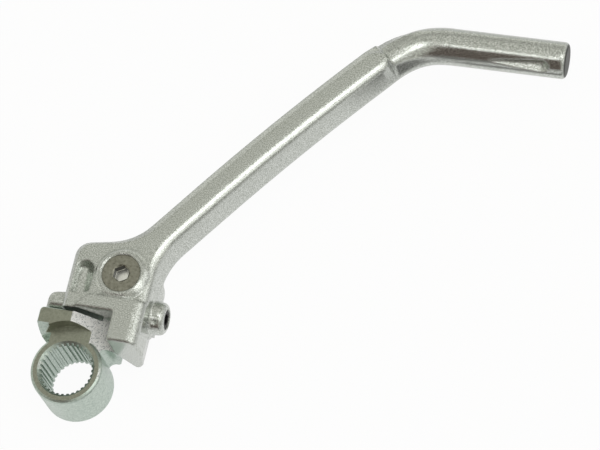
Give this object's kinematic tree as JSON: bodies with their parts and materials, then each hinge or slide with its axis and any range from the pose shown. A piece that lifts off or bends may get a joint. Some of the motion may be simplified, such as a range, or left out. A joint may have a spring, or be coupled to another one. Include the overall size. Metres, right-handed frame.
{
  "type": "kick start lever",
  "caption": "Folding kick start lever: splined steel knuckle with a stop lug, and a light alloy arm that swings out on its post and ends in a round foot peg.",
  "frame": {"origin": "axis of the splined bore, on the engine side face of the hub", "axes": "+X along the stowed foot peg, +Y along the folding axis from the hub to the arm, +Z along the splined bore, away from the engine"},
  "size_m": [0.1839, 0.1806, 0.0316],
  "materials": {
    "zinc_plated_steel": "zinc plated forging, faces machined",
    "blasted_alloy": "bead blasted and clear anodised",
    "screw_steel": "turned, plain",
    "ball_steel": "ground",
    "spring_steel": "drawn wire",
    "black_steel": "black oxide"
  },
  "bodies": {
    "knuckle": {"knuckle": "zinc_plated_steel"},
    "arm": {"kick_arm": "blasted_alloy", "retaining_screw": "screw_steel", "detent_ball": "ball_steel", "detent_spring": "spring_steel", "detent_plug": "black_steel"}
  },
  "joints": [
    {"name": "fold", "type": "hinge", "parent": "knuckle", "child": "arm", "pos_m": [0.015, 0.035, 0.0158], "axis": [0, -1, 0], "range_deg": [0, 53]}
  ]
}
